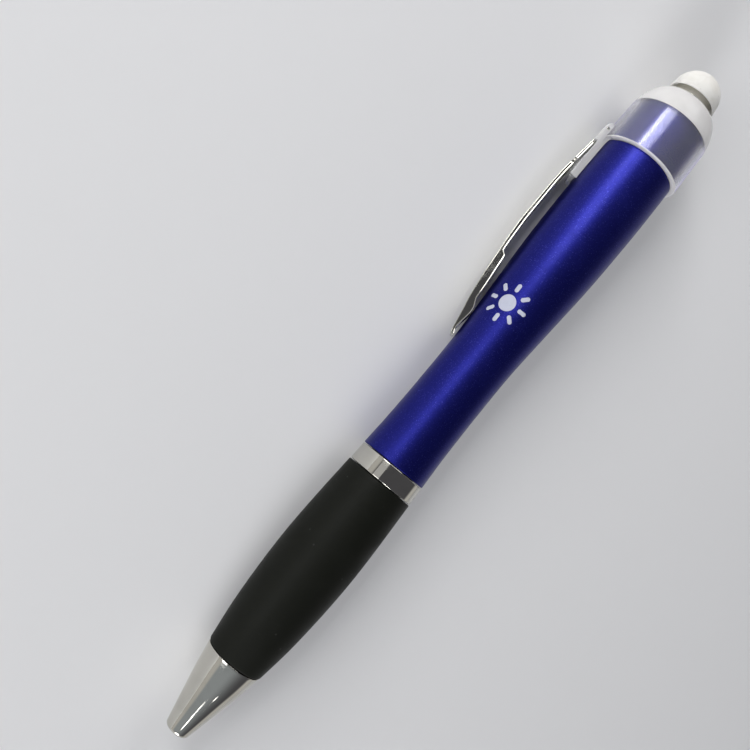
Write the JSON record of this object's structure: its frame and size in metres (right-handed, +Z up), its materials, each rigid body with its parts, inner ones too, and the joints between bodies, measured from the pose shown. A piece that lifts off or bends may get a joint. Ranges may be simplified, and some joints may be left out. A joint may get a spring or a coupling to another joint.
{
  "type": "light-up stylus pen",
  "caption": "Twist ballpoint with a rubber grip, a waisted barrel that holds a lamp, a frosted cap with a sprung clip, and a soft stylus dome that works the lamp.",
  "frame": {"origin": "on the surface the pen lies on, under the middle of its box", "axes": "+X along the pen towards the writing end, +Z up from the surface; the clip's edge, the cap's rim and the grip rest on the surface, with the clip on the -Y side"},
  "size_m": [0.139, 0.0164, 0.0152],
  "materials": {
    "chrome": "bright plated",
    "grip_rubber": "smooth matte",
    "blue_lacquer": "satin metallic lacquer",
    "frosted_plastic": "frosted and translucent",
    "white_silicone": "soft, slightly translucent",
    "black_plastic": "moulded",
    "white_plastic": "moulded",
    "brass": "turned",
    "carbide": "ground",
    "steel": "drawn",
    "clear_acrylic": "clear",
    "ink_tube": "clear tube full of ink"
  },
  "bodies": {
    "barrel": {"upper_barrel": "blue_lacquer", "cam_tube": "white_plastic", "light_guide": "clear_acrylic", "led": "clear_acrylic", "led_lead_short": "steel", "led_lead_long": "steel", "battery_holder": "black_plastic", "contact_spring": "steel", "button_cell_1": "steel", "button_cell_2": "steel", "button_cell_3": "steel", "contact_plate": "brass", "switch_housing": "black_plastic", "button_spring": "steel", "cap": "frosted_plastic", "clip_pin": "steel"},
    "grip": {"nose_cone": "chrome", "grip_core": "black_plastic", "grip_sleeve": "grip_rubber", "centre_ring": "chrome", "twist_sleeve": "white_plastic", "return_spring": "steel"},
    "refill": {"refill_tip": "brass", "refill_ball": "carbide", "refill_tube": "ink_tube", "refill_driver": "white_plastic"},
    "button": {"button_stem": "white_plastic", "stylus_collar": "chrome", "stylus_tip": "white_silicone"},
    "clip": {"clip": "chrome"}
  },
  "joints": [
    {"name": "twist", "type": "hinge", "parent": "barrel", "child": "grip", "pos_m": [0.01524, 0.00062, 0.00694], "axis": [-0.9999, 0, 0.0105], "range_deg": [0, 180]},
    {"name": "refill_slide", "type": "slide", "parent": "grip", "child": "refill", "axis": [0.9999, 0, -0.0105], "range_m": [0, 0.0046], "deforming": ["return_spring"]},
    {"name": "button_press", "type": "slide", "parent": "barrel", "child": "button", "axis": [0.9999, 0, -0.0105], "range_m": [0, 0.0012], "stiffness_N_per_m": 1500, "deforming": ["button_spring"]},
    {"name": "clip_flex", "type": "hinge", "parent": "barrel", "child": "clip", "pos_m": [-0.05055, -0.00552, 0.00302], "axis": [-0.0084, 0.6007, -0.7994], "range_deg": [0, 4.5], "stiffness_Nm_per_rad": 3}
  ],
  "couplings": [
    {"joint": "twist", "follows": "refill_slide", "rad_per_m": 682.95}
  ]
}
